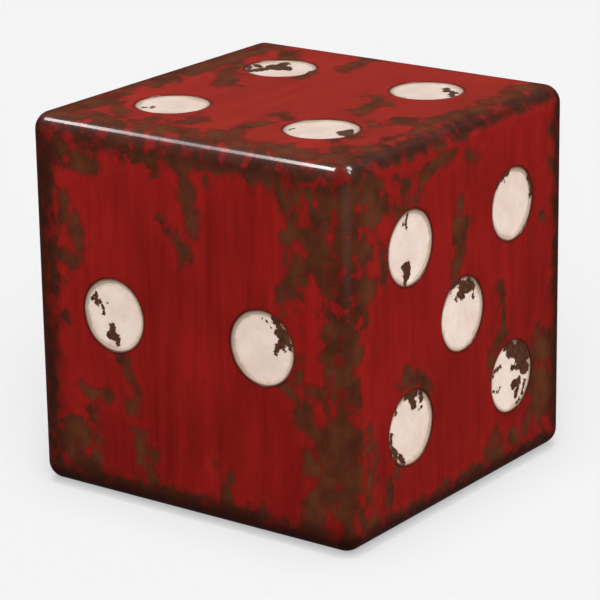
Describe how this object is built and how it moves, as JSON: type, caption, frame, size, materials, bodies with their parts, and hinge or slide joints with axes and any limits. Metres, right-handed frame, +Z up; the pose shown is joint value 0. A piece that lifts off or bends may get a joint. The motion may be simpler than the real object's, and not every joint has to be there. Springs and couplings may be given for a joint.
{
  "type": "oversize wooden die",
  "caption": "Furniture-size hollow wooden cube die with rounded edges, dished round pips and worn red paint.",
  "frame": {"origin": "on the floor, under the middle of the cube", "axes": "+Z up, -Y out of the front face, which has two pips side by side, and +X out of the right face, which has five"},
  "size_m": [0.4572, 0.4572, 0.4602],
  "materials": {
    "red_paint": "worn brushed paint under semi-gloss varnish",
    "cream_paint": "chipped paint under semi-gloss varnish",
    "bare_wood": "planed, unfinished",
    "plywood": "sawn, unfinished",
    "zinc_steel": "zinc plated",
    "nylon": "moulded, brown"
  },
  "bodies": {
    "root": {"back_left_glide": "nylon", "back_left_post": "bare_wood", "back_left_spline": "plywood", "back_panel": "red_paint", "back_pip_1": "cream_paint", "back_pip_2": "cream_paint", "back_pip_3": "cream_paint", "back_pip_4": "cream_paint", "back_pip_5": "cream_paint", "back_pip_6": "cream_paint", "back_right_glide": "nylon", "back_right_post": "bare_wood", "back_right_spline": "plywood", "bottom_back_cleat": "bare_wood", "bottom_front_cleat": "bare_wood", "bottom_left_cleat": "bare_wood", "bottom_panel": "red_paint", "bottom_panel_screws": "zinc_steel", "bottom_pip_1": "cream_paint", "bottom_pip_2": "cream_paint", "bottom_pip_3": "cream_paint", "bottom_right_cleat": "bare_wood", "front_left_glide": "nylon", "front_left_post": "bare_wood", "front_left_spline": "plywood", "front_panel": "red_paint", "front_pip_1": "cream_paint", "front_pip_2": "cream_paint", "front_right_glide": "nylon", "front_right_post": "bare_wood", "front_right_spline": "plywood", "glide_nails": "zinc_steel", "left_panel": "red_paint", "left_pip_1": "cream_paint", "right_panel": "red_paint", "right_pip_1": "cream_paint", "right_pip_2": "cream_paint", "right_pip_3": "cream_paint", "right_pip_4": "cream_paint", "right_pip_5": "cream_paint", "top_back_cleat": "bare_wood", "top_back_spline": "plywood", "top_front_cleat": "bare_wood", "top_front_spline": "plywood", "top_left_cleat": "bare_wood", "top_left_spline": "plywood", "top_panel": "red_paint", "top_pip_1": "cream_paint", "top_pip_2": "cream_paint", "top_pip_3": "cream_paint", "top_pip_4": "cream_paint", "top_right_cleat": "bare_wood", "top_right_spline": "plywood"}
  },
  "joints": []
}
